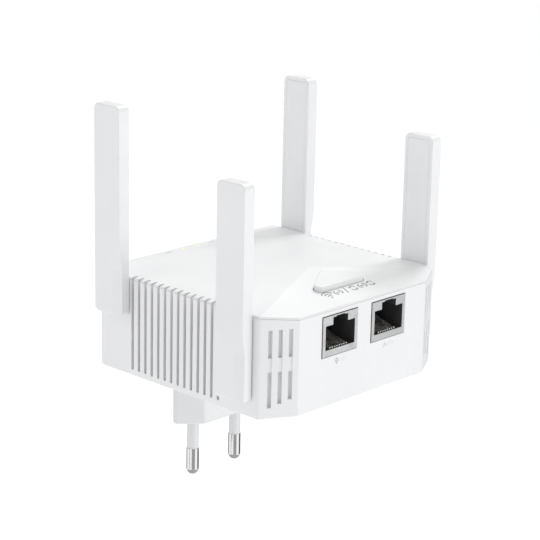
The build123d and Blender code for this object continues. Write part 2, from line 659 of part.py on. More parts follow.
def transformer_winding():
    """The taped coil around the centre leg."""
    half_width = CORE_HALF_WIDTH - CORE_LEG_HALF_WIDTH - COIL_CLEARANCE
    half_length = CORE_WINDOW_HALF_LENGTH - COIL_CLEARANCE
    coil = block(-half_width, half_width, CORE_Y - half_length, CORE_Y + half_length,
                 MAINS_BOARD_TOP_Z, MAINS_BOARD_TOP_Z + CORE_HEIGHT + 2 * CORE_LIFT)
    bore = CORE_LEG_HALF_WIDTH + COIL_BORE_CLEARANCE
    return coil - block(-bore, bore, CORE_Y - CORE_HALF_LENGTH, CORE_Y + CORE_HALF_LENGTH,
                        MAINS_BOARD_TOP_Z + CORE_LIFT - COIL_BORE_CLEARANCE,
                        MAINS_BOARD_TOP_Z + CORE_LIFT + CORE_HEIGHT + COIL_BORE_CLEARANCE)


def capacitors():
    """Three smoothing capacitors lying on the power board."""
    z = MAINS_BOARD_TOP_Z + CAPACITOR_RADIUS + 0.05
    return [long_rod(x, y, y + CAPACITOR_LENGTH, z, CAPACITOR_RADIUS) for x, y in CAPACITOR_PLACES]


def mains_fuse():
    return cross_rod(-FUSE_HALF_LENGTH, FUSE_HALF_LENGTH, FUSE_Y, MAINS_BOARD_TOP_Z + FUSE_RADIUS,
                     FUSE_RADIUS)


def rectifier():
    x, y = RECTIFIER_PLACE
    return block(x - RECTIFIER_HALF_LENGTH, x + RECTIFIER_HALF_LENGTH, y - RECTIFIER_HALF_WIDTH,
                 y + RECTIFIER_HALF_WIDTH, MAINS_BOARD_TOP_Z, MAINS_BOARD_TOP_Z + RECTIFIER_HEIGHT)


def board_header():
    """The pin header that joins the two boards."""
    first = HEADER_Y - HEADER_PITCH * (HEADER_PINS - 1) / 2
    half_length = HEADER_PITCH * HEADER_PINS / 2
    header = block(HEADER_X - HEADER_PITCH / 2, HEADER_X + HEADER_PITCH / 2,
                   HEADER_Y - half_length, HEADER_Y + half_length,
                   MAINS_BOARD_TOP_Z, MAINS_BOARD_TOP_Z + HEADER_PITCH)
    half = HEADER_PIN_WIDTH / 2
    for number in range(HEADER_PINS):
        y = first + number * HEADER_PITCH
        header += block(HEADER_X - half, HEADER_X + half, y - half, y + half,
                        MAINS_BOARD_TOP_Z, BOARD_Z)
    return header


def radio_chips():
    """Three chips: middle (x, y), half width, half length and height of each."""
    return [block(x - half_width, x + half_width, y - half_length, y + half_length,
                  BOARD_TOP_Z, BOARD_TOP_Z + height)
            for x, y, half_width, half_length, height in CHIPS]


def heat_sink():
    """A finned block on the main chip."""
    x, y, half_width, half_length, height = CHIPS[0]
    low = BOARD_TOP_Z + height
    reach_x = half_width + SINK_OVERHANG
    reach_y = half_length + SINK_OVERHANG
    sink = block(x - reach_x, x + reach_x, y - reach_y, y + reach_y, low, low + SINK_BASE)
    pitch = 2 * (reach_x - FIN_THICKNESS) / (SINK_FINS - 1)
    for number in range(SINK_FINS):
        fin_x = x - reach_x + FIN_THICKNESS + number * pitch
        sink += block(fin_x - FIN_THICKNESS / 2, fin_x + FIN_THICKNESS / 2, y - reach_y, y + reach_y,
                      low, low + SINK_HEIGHT)
    return sink


def shield_cans():
    """Two hollow tin covers over the radio sections."""
    cans = []
    inner = CAN_HALF_WIDTH - CAN_THICKNESS
    for x in (-CAN_X, CAN_X):
        can = block(x - CAN_HALF_WIDTH, x + CAN_HALF_WIDTH, CAN_Y - CAN_HALF_WIDTH,
                    CAN_Y + CAN_HALF_WIDTH, BOARD_TOP_Z, BOARD_TOP_Z + CAN_HEIGHT)
        cans.append(can - block(x - inner, x + inner, CAN_Y - inner, CAN_Y + inner,
                                BOARD_TOP_Z - 1, BOARD_TOP_Z + CAN_HEIGHT - CAN_THICKNESS))
    return cans


def coax_leads():
    """Four thin aerial leads, each from a pivot bore to the radio board."""
    start = -HALF_WIDTH + COAX_START
    leads = []
    for row, side, y, foot_z in antenna_places():
        z = foot_z + PIVOT_RISE
        board_z = BOARD_TOP_Z if row == "rear" else BOARD_Z
        bend = min(COAX_BEND, abs(z - board_z) - 0.1)
        path = FilletPolyline((start, y, z), (-COAX_X, y, z), (-COAX_X, y, board_z), radius=bend)
        lead = sweep(Plane(origin=(start, y, z), z_dir=(1, 0, 0)) * Circle(COAX_RADIUS), path=path)
        leads.append(on_side(lead, side))
    return leads


# ---- antennas, drawn for the left side
def antenna_blank(y, foot_z):
    """The blade as one block, with its rounded corners and the cut facets at its foot."""
    inner = -HALF_WIDTH - ANTENNA_GAP
    outer = inner - ANTENNA_THICKNESS
    tip_z = foot_z + ANTENNA_LENGTH
    front = y - ANTENNA_WIDTH / 2
    blade = block(outer, inner, front, front + ANTENNA_WIDTH, foot_z, tip_z)
    across = blade.edges().filter_by(Axis.X)
    blade = fillet(across.group_by(Axis.Z)[-1], ANTENNA_TIP_RADIUS)
    blade = fillet(blade.edges().filter_by(Axis.X).group_by(Axis.Z)[0], ANTENNA_FOOT_RADIUS)
    blade = fillet(blade.faces().sort_by(Axis.X)[0].edges(), ANTENNA_EDGE_RADIUS)
    blade = fillet(blade.faces().sort_by(Axis.X)[-1].edges(), ANTENNA_EDGE_RADIUS / 2)
    flat = outer + FACET_RECESS
    middle = foot_z + FACET_MIDDLE
    recess = Polyline((outer, foot_z + FACET_TOP), (flat, middle), (flat, foot_z + 1.0),
                      (flat + 0.5, foot_z - 0.1), (outer - 1, foot_z - 0.1),
                      (outer - 1, foot_z + FACET_TOP), close=True)
    blade -= extrude(Plane.XZ.offset(-y) * make_face(recess), ANTENNA_WIDTH, both=True)
    corner = Vector(flat + CORNER_FACET_DEPTH, front, middle)
    edge = Vector(flat, front + CORNER_FACET_WIDTH, middle)
    point = Vector(outer, front, foot_z + CORNER_FACET_TOP)
    away = Vector(-CORNER_FACET_WIDTH, -CORNER_FACET_DEPTH, 0)
    slope = (edge - point).cross(corner - point)
    slope = slope if slope.X < 0 else slope * -1
    low = block(outer - 1, inner, front - 1, y, foot_z - 1, middle)
    high = block(outer - 1, inner, front - 1, y, middle, foot_z + CORNER_FACET_TOP + 1)
    blade -= split(low, bisect_by=Plane(origin=edge, z_dir=away), keep=Keep.TOP)
    blade -= split(high, bisect_by=Plane(origin=point, z_dir=slope), keep=Keep.TOP)
    return blade


def antenna_pocket(y, foot_z, shrink, depth):
    """The space inside the blade, open towards the body."""
    inner = -HALF_WIDTH - ANTENNA_GAP
    half = ANTENNA_WIDTH / 2 - ANTENNA_WALL - shrink
    pocket = block(inner - depth, inner + 1, y - half, y + half,
                   foot_z + ANTENNA_WALL + shrink, foot_z + ANTENNA_LENGTH - ANTENNA_WALL - shrink)
    return fillet(pocket.edges().filter_by(Axis.X), POCKET_CORNER_RADIUS)


def antenna_shell(y, foot_z):
    """The outer half of the blade, a long tray."""
    depth = ANTENNA_THICKNESS - ANTENNA_WALL
    return antenna_blank(y, foot_z) - antenna_pocket(y, foot_z, 0, depth)


def antenna_back(y, foot_z):
    """The inner half: a plate that closes the tray and carries the hollow pivot shaft."""
    inner = -HALF_WIDTH - ANTENNA_GAP
    z = foot_z + PIVOT_RISE
    root = inner - BACK_THICKNESS / 2
    plate = antenna_pocket(y, foot_z, BACK_FIT, BACK_THICKNESS)
    plate = split(plate, bisect_by=Plane(origin=(inner, 0, 0), z_dir=(1, 0, 0)), keep=Keep.BOTTOM)
    plate += cross_rod(root, -HALF_WIDTH - SHAFT_CLEARANCE, y, z, SHOULDER_RADIUS)
    shaft_end = -HALF_WIDTH + SHAFT_REACH
    groove = -HALF_WIDTH + WALL + 0.1
    groove_end = groove + CLIP_THICKNESS + 0.1
    plate += cross_rod(root, shaft_end, y, z, SHAFT_RADIUS)
    plate -= (cross_rod(groove, groove_end, y, z, SHOULDER_RADIUS)
              - cross_rod(groove, groove_end, y, z, GROOVE_RADIUS))
    return plate - cross_rod(inner - 3, shaft_end + 1, y, z, SHAFT_BORE_RADIUS)


def antenna_element(y, foot_z):
    """The printed radiator strip inside the blade."""
    inner = -HALF_WIDTH - ANTENNA_GAP
    near = inner - BACK_THICKNESS - ELEMENT_LIFT
    return block(near - ELEMENT_THICKNESS, near, y - ELEMENT_HALF_WIDTH, y + ELEMENT_HALF_WIDTH,
                 foot_z + ELEMENT_START, foot_z + ANTENNA_LENGTH - ELEMENT_TIP_GAP)


def antenna_clip(y, foot_z):
    """The open ring in the shaft's groove that keeps the antenna in its wall."""
    z = foot_z + PIVOT_RISE
    x = -HALF_WIDTH + WALL + 0.15
    ring = cross_rod(x, x + CLIP_THICKNESS, y, z, CLIP_RADIUS)
    ring -= cross_rod(x - 1, x + 2, y, z, GROOVE_RADIUS + SHAFT_CLEARANCE)
    return ring - block(x - 1, x + 2, y - CLIP_MOUTH, y + CLIP_MOUTH, z, z + CLIP_RADIUS + 1)


def antenna_parts(y, foot_z):
    return {"shell": antenna_shell(y, foot_z), "back": antenna_back(y, foot_z),
            "element": antenna_element(y, foot_z), "clip": antenna_clip(y, foot_z)}


# ---- every node by name
def all_nodes():
    nodes = {
        "rear_housing": rear_housing(), "top_cover": top_cover(),
        "plug_boss": plug_boss(), "plug_pins": plug_pins(), "pin_sleeves": pin_sleeves(),
        "cover_screws": cover_screws(), "wps_button": wps_button(),
        "tact_switch": tact_switch(), "switch_actuator": switch_actuator(),
        "light_guide": light_guide(), "indicator_leds": indicator_leds(),
        "main_board": main_board(), "board_screws": board_screws(),
        "mains_board": mains_board(), "transformer_core": transformer_core(),
        "transformer_winding": transformer_winding(), "capacitors": capacitors(),
        "mains_fuse": mains_fuse(), "rectifier": rectifier(), "board_header": board_header(),
        "radio_chips": radio_chips(), "heat_sink": heat_sink(), "shield_cans": shield_cans(),
        "coax_leads": coax_leads(),
    }
    for side, x in (("left", -JACK_X), ("right", JACK_X)):
        nodes[f"jack_shield_{side}"] = jack_shield(x)
        nodes[f"jack_insulator_{side}"] = jack_insulator(x)
        nodes[f"jack_contacts_{side}"] = jack_contacts(x)
    for row, side, y, foot_z in antenna_places():
        for piece, shape in antenna_parts(y, foot_z).items():
            nodes[f"antenna_{row}_{side}_{piece}"] = on_side(shape, side)
    return nodes


os.makedirs("parts", exist_ok=True)
for name, shape in all_nodes().items():
    solids = shape if isinstance(shape, list) else [shape]
    export_step(Compound(children=[s for group in solids for s in group.solids()]),
                f"parts/{name}.step")
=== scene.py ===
import json
import math

import bmesh
import bpy
from mathutils import Matrix, Vector


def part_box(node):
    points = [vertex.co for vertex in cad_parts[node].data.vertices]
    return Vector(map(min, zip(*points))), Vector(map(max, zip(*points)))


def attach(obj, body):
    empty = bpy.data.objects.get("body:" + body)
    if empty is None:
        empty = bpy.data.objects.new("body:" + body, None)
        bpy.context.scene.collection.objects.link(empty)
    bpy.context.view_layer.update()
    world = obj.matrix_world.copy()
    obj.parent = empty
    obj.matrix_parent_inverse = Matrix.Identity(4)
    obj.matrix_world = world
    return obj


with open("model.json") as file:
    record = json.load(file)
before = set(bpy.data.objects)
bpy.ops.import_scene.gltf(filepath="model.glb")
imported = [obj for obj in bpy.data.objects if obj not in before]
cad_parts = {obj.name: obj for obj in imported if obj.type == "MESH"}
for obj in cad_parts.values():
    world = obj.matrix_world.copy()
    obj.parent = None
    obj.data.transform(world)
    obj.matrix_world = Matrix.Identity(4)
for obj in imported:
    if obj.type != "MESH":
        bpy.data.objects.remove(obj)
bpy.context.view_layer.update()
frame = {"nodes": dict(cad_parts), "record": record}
nodes = frame["nodes"]
MM = 0.001

# Millimetres unless a name says otherwise. Blender works in metres, so MM turns one into the other.

# ---- where the CAD part is, in millimetres
FRONT_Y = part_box("rear_housing")[0].y / MM
RIDGE_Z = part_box("top_cover")[1].z / MM
RIDGE_FRONT_Y = -39.1
FACET_EAVE_Z = 51.82
PIN_TIP_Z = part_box("plug_pins")[0].z / MM


# ---- node tree helpers
def new_material(name):
    """A material with its Principled shader, and the tools to add nodes to it."""
    mat = bpy.data.materials.new(name)
    mat.use_nodes = True
    return mat, mat.node_tree, mat.node_tree.nodes["Principled BSDF"]


def object_coordinates(tree):
    return tree.nodes.new("ShaderNodeTexCoord").outputs["Object"]


def noise(tree, place, size, detail=3.0, roughness=0.55, distortion=0.0):
    """Noise whose lumps are about size millimetres across."""
    node = tree.nodes.new("ShaderNodeTexNoise")
    node.inputs["Scale"].default_value = 1.0 / (size * MM)
    node.inputs["Detail"].default_value = detail
    node.inputs["Roughness"].default_value = roughness
    node.inputs["Distortion"].default_value = distortion
    tree.links.new(place, node.inputs["Vector"])
    return node.outputs["Fac"]


def remap(tree, value, from_low, from_high, to_low, to_high):
    node = tree.nodes.new("ShaderNodeMapRange")
    node.inputs["From Min"].default_value = from_low
    node.inputs["From Max"].default_value = from_high
    node.inputs["To Min"].default_value = to_low
    node.inputs["To Max"].default_value = to_high
    tree.links.new(value, node.inputs["Value"])
    return node.outputs["Result"]


def blend_colours(tree, factor, first, second):
    """A mix of two colours; each is a socket or three numbers."""
    node = tree.nodes.new("ShaderNodeMix")
    node.data_type = "RGBA"
    tree.links.new(factor, node.inputs["Factor"])
    for socket, colour in ((node.inputs[6], first), (node.inputs[7], second)):
        if isinstance(colour, bpy.types.NodeSocket):
            tree.links.new(colour, socket)
        else:
            socket.default_value = (*colour, 1.0)
    return node.outputs[2]


def combine(tree, operation, first, second):
    """One Math node; second is a socket or a number."""
    node = tree.nodes.new("ShaderNodeMath")
    node.operation = operation
    tree.links.new(first, node.inputs[0])
    if isinstance(second, bpy.types.NodeSocket):
        tree.links.new(second, node.inputs[1])
    else:
        node.inputs[1].default_value = second
    return node.outputs[0]


def bump(tree, height, depth, under=None):
    """A bump of depth millimetres, on top of another one if that is given."""
    node = tree.nodes.new("ShaderNodeBump")
    node.inputs["Strength"].default_value = 1.0
    node.inputs["Distance"].default_value = depth * MM
    tree.links.new(height, node.inputs["Height"])
    if under is not None:
        tree.links.new(under, node.inputs["Normal"])
    return node.outputs["Normal"]


def edge_mask(tree, radius):
    """1 where the surface turns within radius millimetres, 0 on the flats."""
    soft = tree.nodes.new("ShaderNodeBevel")
    soft.samples = 4
    soft.inputs["Radius"].default_value = radius * MM
    sharp = tree.nodes.new("ShaderNodeNewGeometry")
    dot = tree.nodes.new("ShaderNodeVectorMath")
    dot.operation = "DOT_PRODUCT"
    tree.links.new(soft.outputs["Normal"], dot.inputs[0])
    tree.links.new(sharp.outputs["Normal"], dot.inputs[1])
    return remap(tree, dot.outputs["Value"], 1.0, 0.9, 0.0, 1.0)


# ---- materials
def satin_plastic(name, base, rough, grain=0.35, grain_depth=0.012, edge_radius=0.35):
    """White moulded plastic: spark-eroded grain, faint flow marks, a little dust; edges polished and
    lightened as a painted highlight.
    """
    mat, tree, shader = new_material(name)
    place = object_coordinates(tree)
    cloud = noise(tree, place, 22.0, detail=2.0)
    flow = noise(tree, place, 5.0, detail=4.0, distortion=1.2)
    speck = noise(tree, place, 0.5, detail=2.0)
    fine = noise(tree, place, grain, detail=4.0, roughness=0.6)
    low = [channel * 0.972 for channel in base]
    high = [min(1.0, channel * 1.012) for channel in base]
    tint = blend_colours(tree, remap(tree, cloud, 0.3, 0.7, 0.0, 1.0), low, high)
    dusty = blend_colours(tree, remap(tree, speck, 0.72, 0.80, 0.0, 0.10), tint,
                          [channel * 0.80 for channel in base])
    # Edge mask: lightens the colour along edges as a painted highlight, and lowers roughness there
    # as polish.
    edge_highlight_and_polish = edge_mask(tree, edge_radius)
    colour = blend_colours(tree, combine(tree, "MULTIPLY", edge_highlight_and_polish, 0.35), dusty,
                           [min(1.0, channel * 1.03) for channel in base])
    tree.links.new(colour, shader.inputs["Base Color"])
    dull = remap(tree, flow, 0.3, 0.7, rough - 0.04, rough + 0.05)
    shine = combine(tree, "SUBTRACT", dull, combine(tree, "MULTIPLY", edge_highlight_and_polish, 0.10))
    tree.links.new(shine, shader.inputs["Roughness"])
    relief = bump(tree, fine, grain_depth)
    tree.links.new(bump(tree, flow, 0.010, relief), shader.inputs["Normal"])
    shader.inputs["IOR"].default_value = 1.5
    shader.inputs["Specular IOR Level"].default_value = 0.45
    shader.inputs["Subsurface Weight"].default_value = 0.12
    shader.inputs["Subsurface Radius"].default_value = (1.0, 0.95, 0.9)
    shader.inputs["Subsurface Scale"].default_value = 0.6 * MM
    return mat


def plated_metal(name, base, rough, streak_axis, streak=0.25, tarnish=0.3):
    """Plated metal: fine drawing lines along one axis, cloudy tarnish, small pits."""
    mat, tree, shader = new_material(name)
    place = object_coordinates(tree)
    stretch = tree.nodes.new("ShaderNodeMapping")
    stretch.inputs["Scale"].default_value = [0.04 if axis == streak_axis else 1.0 for axis in "XYZ"]
    tree.links.new(place, stretch.inputs["Vector"])
    lines = noise(tree, stretch.outputs["Vector"], streak, detail=4.0)
    cloud = noise(tree, place, 2.4, detail=5.0, roughness=0.65, distortion=0.6)
    pits = noise(tree, place, 0.22, detail=1.0)
    colour = blend_colours(tree, remap(tree, cloud, 0.42, 0.75, 0.0, tarnish), base,
                           [channel * 0.62 for channel in base])
    tree.links.new(colour, shader.inputs["Base Color"])
    shader.inputs["Metallic"].default_value = 1.0
    tree.links.new(remap(tree, cloud, 0.3, 0.75, rough * 0.75, rough * 1.5),
                   shader.inputs["Roughness"])
    relief = bump(tree, lines, 0.004)
    tree.links.new(bump(tree, remap(tree, pits, 0.70, 0.80, 1.0, 0.0), 0.003, relief),
                   shader.inputs["Normal"])
    return mat


def dark_plastic(name, base, rough):
    """Moulded nylon or epoxy: fine mould texture and slightly greyed high spots."""
    mat, tree, shader = new_material(name)
    place = object_coordinates(tree)
    fine = noise(tree, place, 0.18, detail=3.0)
    cloud = noise(tree, place, 3.0, detail=3.0)
    colour = blend_colours(tree, remap(tree, cloud, 0.3, 0.75, 0.0, 1.0), base,
                           [channel * 1.7 + 0.004 for channel in base])
    tree.links.new(colour, shader.inputs["Base Color"])
    tree.links.new(remap(tree, cloud, 0.3, 0.7, rough - 0.08, rough + 0.08),
                   shader.inputs["Roughness"])
    tree.links.new(bump(tree, fine, 0.008), shader.inputs["Normal"])
    return mat


def board_laminate(name, base, copper):
    """Solder mask over copper: a faint relief of tracks in two directions."""
    mat, tree, shader = new_material(name)
    place = object_coordinates(tree)
    waves = []
    for direction in ("X", "Y"):
        wave = tree.nodes.new("ShaderNodeTexWave")
        wave.bands_direction = direction
        wave.inputs["Scale"].default_value = 1 / (5.0 * MM)
        wave.inputs["Distortion"].default_value = 6.0
        tree.links.new(place, wave.inputs["Vector"])
        waves.append(wave.outputs["Fac"])
    tracks = remap(tree, combine(tree, "MULTIPLY", waves[0], waves[1]), 0.45, 0.55, 0.0, 1.0)
    tree.links.new(blend_colours(tree, tracks, base, copper), shader.inputs["Base Color"])
    tree.links.new(remap(tree, noise(tree, place, 1.5), 0.3, 0.7, 0.28, 0.42),
                   shader.inputs["Roughness"])
    tree.links.new(bump(tree, tracks, 0.03), shader.inputs["Normal"])
    return mat


def clear_acrylic(name, base, lamps):
    """The light guide: milky acrylic, glowing softly over the lamps that are on."""
    mat, tree, shader = new_material(name)
    place = object_coordinates(tree)
    shader.inputs["Transmission Weight"].default_value = 0.10
    tree.links.new(remap(tree, noise(tree, place, 0.6), 0.3, 0.7, 0.16, 0.30),
                   shader.inputs["Roughness"])
    split = tree.nodes.new("ShaderNodeSeparateXYZ")
    tree.links.new(place, split.inputs["Vector"])
    colour = blend_colours(tree, remap(tree, noise(tree, place, 1.2), 0.3, 0.7, 0.0, 1.0), base,
                           [channel * 0.93 for channel in base])
    glow = None
    for x, tint in lamps:
        away = combine(tree, "ABSOLUTE", combine(tree, "SUBTRACT", split.outputs["X"], x * MM), 0.0)
        on = remap(tree, away, 1.9 * MM, 1.2 * MM, 0.0, 1.0)
        colour = blend_colours(tree, on, colour, tint)
        glow = on if glow is None else combine(tree, "MAXIMUM", glow, on)
    tree.links.new(colour, shader.inputs["Base Color"])
    tree.links.new(colour, shader.inputs["Emission Color"])
    tree.links.new(combine(tree, "MULTIPLY", glow, 0.45), shader.inputs["Emission Strength"])
    return mat


def printed_ink(name, base):
    """Pad-printed ink: slightly uneven cover and a matt skin."""
    mat, tree, shader = new_material(name)
    place = object_coordinates(tree)
    thin = noise(tree, place, 0.4, detail=4.0)
    colour = blend_colours(tree, remap(tree, thin, 0.35, 0.75, 0.0, 1.0), base,
                           [min(1.0, channel * 1.18 + 0.03) for channel in base])
    tree.links.new(colour, shader.inputs["Base Color"])
    tree.links.new(remap(tree, thin, 0.3, 0.7, 0.45, 0.62), shader.inputs["Roughness"])
    tree.links.new(bump(tree, thin, 0.006), shader.inputs["Normal"])
    return mat


BODY_WHITE = (0.86, 0.865, 0.875)
slot_materials = {
    "housing_white": satin_plastic("housing_plastic", BODY_WHITE, 0.42),
    "cover_white": satin_plastic("cover_plastic", (0.87, 0.875, 0.88), 0.38, grain=0.30),
    "antenna_white": satin_plastic("antenna_plastic", BODY_WHITE, 0.36, grain=0.26,
                                   grain_depth=0.008, edge_radius=0.5),
    "button_white": satin_plastic("button_plastic", (0.84, 0.845, 0.85), 0.34, grain=0.22,
                                  grain_depth=0.006),
    # Plug and sleeves: the same white plastic darkened as painted shade, for the shadow that falls
    # on the plug boss.
    "plug_white": satin_plastic("plug_plastic_painted_shade", (0.77, 0.775, 0.785), 0.36, edge_radius=0.6),
    "sleeve_white": satin_plastic("sleeve_plastic_painted_shade", (0.74, 0.745, 0.755), 0.30, grain=0.2,
                                  grain_depth=0.004),
    "nickel_pins": plated_metal("nickel_plate", (0.80, 0.80, 0.80), 0.13, "Z", tarnish=0.15),
    "jack_tin": plated_metal("socket_tin", (0.50, 0.505, 0.51), 0.32, "X", tarnish=0.65),
    "jack_black": dark_plastic("socket_nylon", (0.034, 0.034, 0.036), 0.50),
    "contact_gold": plated_metal("contact_flash", (0.93, 0.91, 0.86), 0.42, "Y", tarnish=0.1),
    "light_guide_clear": clear_acrylic("light_guide_acrylic", (0.66, 0.68, 0.68),
                                       ((-6.5, (0.80, 0.82, 0.42)), (0.0, (0.68, 0.82, 0.42)))),
    "led_body": dark_plastic("lamp_epoxy", (0.55, 0.55, 0.42), 0.35),
    "board_green": board_laminate("board_mask", (0.02, 0.12, 0.05), (0.05, 0.20, 0.09)),
    "switch_dark": dark_plastic("switch_shell", (0.03, 0.03, 0.032), 0.45),
    "actuator_red": dark_plastic("actuator_pin", (0.30, 0.05, 0.04), 0.40),
    "ferrite": dark_plastic("ferrite_core", (0.045, 0.045, 0.05), 0.55),
    "coil_tape": satin_plastic("coil_wrap", (0.55, 0.42, 0.09), 0.30, grain=0.8),
    "capacitor_sleeve": dark_plastic("capacitor_wrap", (0.02, 0.03, 0.09), 0.28),
    "component_dark": dark_plastic("chip_epoxy", (0.02, 0.02, 0.022), 0.50),
    "fuse_glass": satin_plastic("fuse_tube", (0.62, 0.62, 0.60), 0.15, grain=1.0),
    "sink_aluminium": plated_metal("sink_metal", (0.72, 0.72, 0.73), 0.32, "Y"),
    "can_tin": plated_metal("can_metal", (0.66, 0.66, 0.67), 0.30, "X"),
    "steel_screw": plated_metal("screw_zinc", (0.58, 0.58, 0.57), 0.30, "Z"),
    "radiator_laminate": board_laminate("radiator_board", (0.03, 0.12, 0.08), (0.30, 0.18, 0.08)),
    "coax_black": dark_plastic("coax_jacket", (0.02, 0.02, 0.02), 0.55),
}

for part in frame["record"]["subparts"]:
    material = slot_materials[part["material_slot"]]
    mesh_object = nodes[part["node"]]
    for material_slot in mesh_object.material_slots:
        material_slot.link = "OBJECT"
        material_slot.material = material

# ---- printed marks: generic pictograms, drawn on a flat sheet and laid on a face
INK_THICKNESS = 0.03
ARC_STEPS = 28


def arc_points(radius, start, end, centre=(0.0, 0.0)):
    """Points along an arc, angles in degrees, anticlockwise from +x."""
    points = []
    for step in range(ARC_STEPS + 1):
        angle = math.radians(start + (end - start) * step / ARC_STEPS)
        points.append((centre[0] + radius * math.cos(angle), centre[1] + radius * math.sin(angle)))
    return points


def stroke(points, width):
    """The outline of a line of that width, as (left point, right point) pairs."""
    pairs = []
    last = len(points) - 1
    for number, point in enumerate(points):
        ahead = Vector(points[min(number + 1, last)])
        behind = Vector(points[max(number - 1, 0)])
        along = (ahead - behind).normalized()
        aside = Vector((-along.y, along.x)) * width / 2
        pairs.append((Vector(point) + aside, Vector(point) - aside))
    return pairs


def lay_ink(name, strokes, origin, across, upwards, material):
    """Thin raised ink: strokes in the plane through origin, its axes across and upwards."""
    across = Vector(across).normalized()
    upwards = Vector(upwards).normalized()
    out = across.cross(upwards)
    mesh = bmesh.new()

    def vertex(point, height):
        spot = Vector(origin) + across * point.x + upwards * point.y + out * height
        return mesh.verts.new(spot * MM)

    for pairs in strokes:
        rings = []
        for left, right in pairs:
            rings.append((vertex(left, INK_THICKNESS), vertex(right, INK_THICKNESS),
                          vertex(right, -INK_THICKNESS), vertex(left, -INK_THICKNESS)))
        for ring, following in zip(rings, rings[1:]):
            for side in range(4):
                nearby = (side + 1) % 4
                mesh.faces.new((ring[side], ring[nearby], following[nearby], following[side]))
        mesh.faces.new(rings[0][::-1])
        mesh.faces.new(rings[-1])
    bmesh.ops.recalc_face_normals(mesh, faces=mesh.faces)
    data = bpy.data.meshes.new(name)
    mesh.to_mesh(data)
    mesh.free()
    data.materials.append(material)
    mark = bpy.data.objects.new(name, data)
    bpy.context.collection.objects.link(mark)
    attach(mark, "root")
    return mark


def shifted(strokes, right, up=0.0):
    step = Vector((right, up))
    return [[(left + step, other + step) for left, other in pairs] for pairs in strokes]


def waves_sign(size, line):
    """Three radio arcs over a dot."""
    foot = (0.0, -size * 0.42)
    strokes = [stroke(arc_points(size * share, 45, 135, foot), line) for share in (0.32, 0.6, 0.88)]
    strokes.append(stroke([(foot[0] - line * 0.7, foot[1]), (foot[0] + line * 0.7, foot[1])],
                          line * 1.4))
    return strokes


def loop_sign(size, line):
    """Two arrows that chase each other round a ring."""
    radius = size * 0.36
    strokes = []
    for start in (20, 200):
        strokes.append(stroke(arc_points(radius, start, start + 125), line))
        tip_angle = math.radians(start + 150)
        base_angle = math.radians(start + 118)
        tip = Vector((math.cos(tip_angle), math.sin(tip_angle))) * radius
        base = Vector((math.cos(base_angle), math.sin(base_angle))) * radius
        aside = base.normalized() * size * 0.17
        strokes.append([(base - aside, base + aside), (tip, tip * 1.001)])
    return strokes


def link_sign(size, line):
    """Two linked plugs: a pair of rounded brackets joined by a bar."""
    reach = size * 0.30
    left = arc_points(reach, 90, 270, (-reach * 0.7, 0))
    right = arc_points(reach, -90, 90, (reach * 0.7, 0))
    bar = [(-reach * 0.9, 0.0), (reach * 0.9, 0.0)]
    return [stroke(left, line), stroke(right, line), stroke(bar, line)]


def slash_sign(size, line):
    return [stroke([(-size * 0.14, -size * 0.5), (size * 0.14, size * 0.5)], line)]


def globe_sign(size, line):
    """A ring with a meridian and an equator."""
    radius = size * 0.45
    meridian = [(x * 0.45, y) for x, y in arc_points(radius, 0, 360)]
    return [stroke(arc_points(radius, 0, 360), line), stroke(meridian, line),
            stroke([(-radius, 0.0), (radius, 0.0)], line)]


def tree_sign(size, line):
    """Three boxes joined by a branching line."""
    box = size * 0.3
    middle = size * 0.02
    strokes = []
    for x, y in ((0, size * 0.34), (-size * 0.42, -size * 0.34), (size * 0.42, -size * 0.34)):
        strokes.append(stroke([(x - box / 2, y), (x + box / 2, y)], box))
    strokes.append(stroke([(0, size * 0.3), (0, middle)], line))
    strokes.append(stroke([(-size * 0.42, middle), (size * 0.42, middle)], line))
    for x in (-size * 0.42, size * 0.42):
        strokes.append(stroke([(x, middle), (x, -size * 0.3)], line))
    return strokes


def facet_frame():
    """A point and the upward direction of the cover's front facet."""
    ridge = Vector((0.0, RIDGE_FRONT_Y, RIDGE_Z))
    eave = Vector((0.0, FRONT_Y, FACET_EAVE_Z))
    return eave, (ridge - eave).normalized()


ink_dark = printed_ink("ink_grey", (0.26, 0.26, 0.265))
ink_pale = printed_ink("ink_pale", (0.74, 0.74, 0.745))

eave_point, up_slope = facet_frame()
BUTTON_MARK_RISE = 6.9
BUTTON_MARK_SIZE = 3.1
button_marks = (shifted(waves_sign(BUTTON_MARK_SIZE * 1.15, 0.42), -8.6)
                + shifted(link_sign(BUTTON_MARK_SIZE, 0.42), -4.3)
                + shifted(slash_sign(BUTTON_MARK_SIZE, 0.40), -1.0)
                + shifted(loop_sign(BUTTON_MARK_SIZE * 1.05, 0.42), 2.4)
                + shifted(link_sign(BUTTON_MARK_SIZE, 0.42), 6.4)
                + shifted(loop_sign(BUTTON_MARK_SIZE * 1.05, 0.42), 10.2))
lay_ink("button_marks", button_marks, eave_point + up_slope * BUTTON_MARK_RISE, (1, 0, 0),
        up_slope, ink_dark)

SOCKET_MARK_Z = 35.5
SOCKET_MARK_SIZE = 1.6
SOCKET_MARK_LINE = 0.24
for name, x, sign in (("internet_mark", -10.1, globe_sign), ("network_mark", 11.5, tree_sign)):
    row = (shifted(sign(SOCKET_MARK_SIZE, SOCKET_MARK_LINE), -1.7)
           + slash_sign(SOCKET_MARK_SIZE * 0.8, SOCKET_MARK_LINE)
           + shifted(link_sign(SOCKET_MARK_SIZE, SOCKET_MARK_LINE), 1.6))
    lay_ink(name, row, (x, FRONT_Y, SOCKET_MARK_Z), (1, 0, 0), (0, 0, 1), ink_pale)

# ---- floor, lights, camera
BODY_MIDDLE = Vector((0.0, -0.025, 0.04))
FLOOR_DROP = 250.0
FLOOR_GLOW = 0.79


